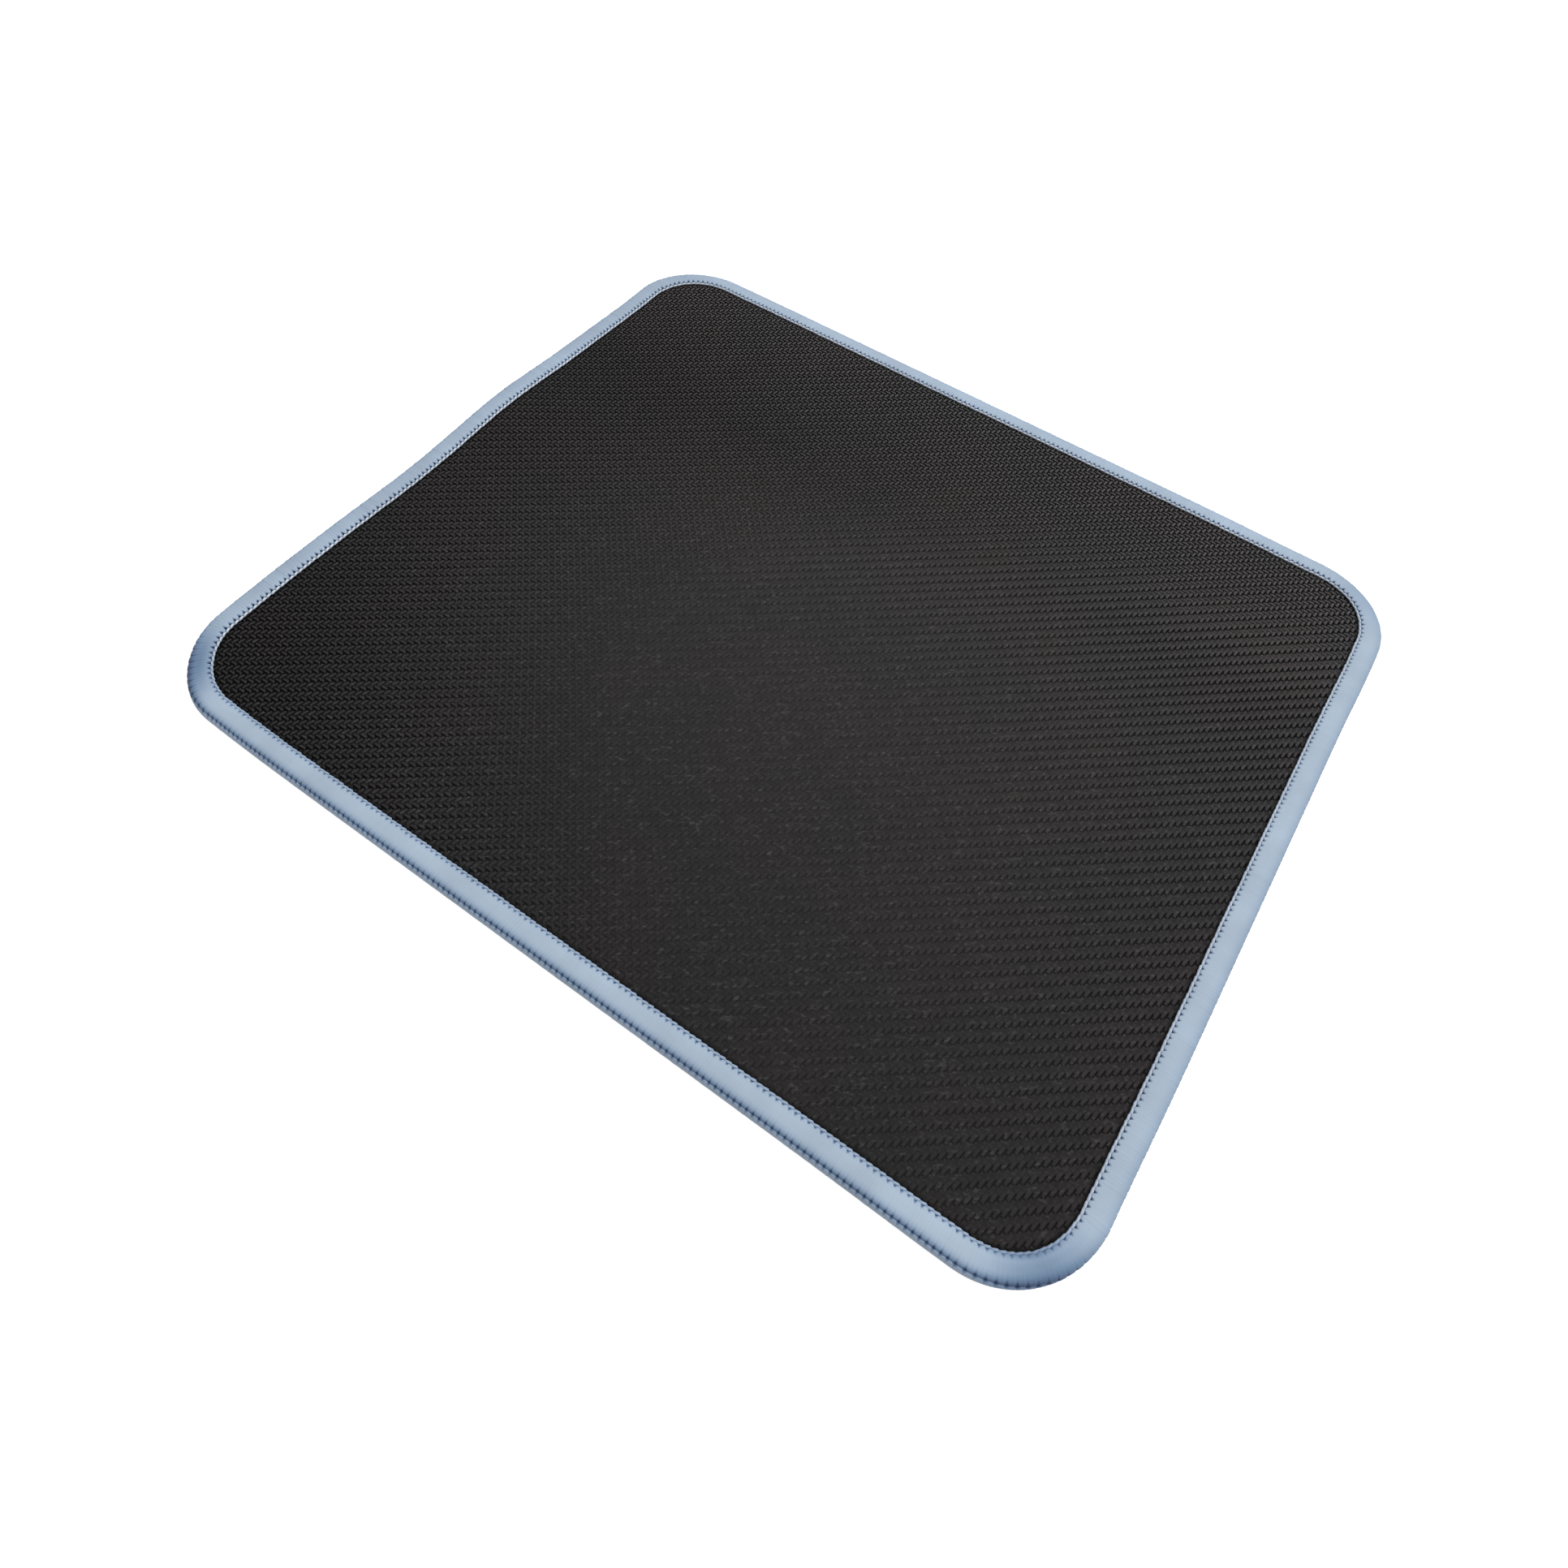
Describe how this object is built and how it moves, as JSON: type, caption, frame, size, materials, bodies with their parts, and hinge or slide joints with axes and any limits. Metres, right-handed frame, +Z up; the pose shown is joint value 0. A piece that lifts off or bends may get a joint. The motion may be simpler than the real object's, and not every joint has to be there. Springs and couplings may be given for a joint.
{
  "type": "mouse pad",
  "caption": "Rectangular mouse pad with rounded corners: black woven cloth bonded to a rubber base, its edge bound all round by a thick pale blue overedge stitch.",
  "frame": {"origin": "on the desk, under the centre of the pad's rounded rectangle", "axes": "+X along the long side, +Y along the short side towards the rear edge, +Z up out of the cloth"},
  "size_m": [0.25, 0.216, 0.0041],
  "materials": {
    "cloth": "matte",
    "film": "satin",
    "rubber": "matte",
    "thread": "matte"
  },
  "bodies": {
    "root": {"cloth_top": "cloth", "bond_film": "film", "rubber_base": "rubber", "needle_thread": "thread", "upper_looper_thread": "thread", "lower_looper_thread": "thread"}
  },
  "joints": []
}
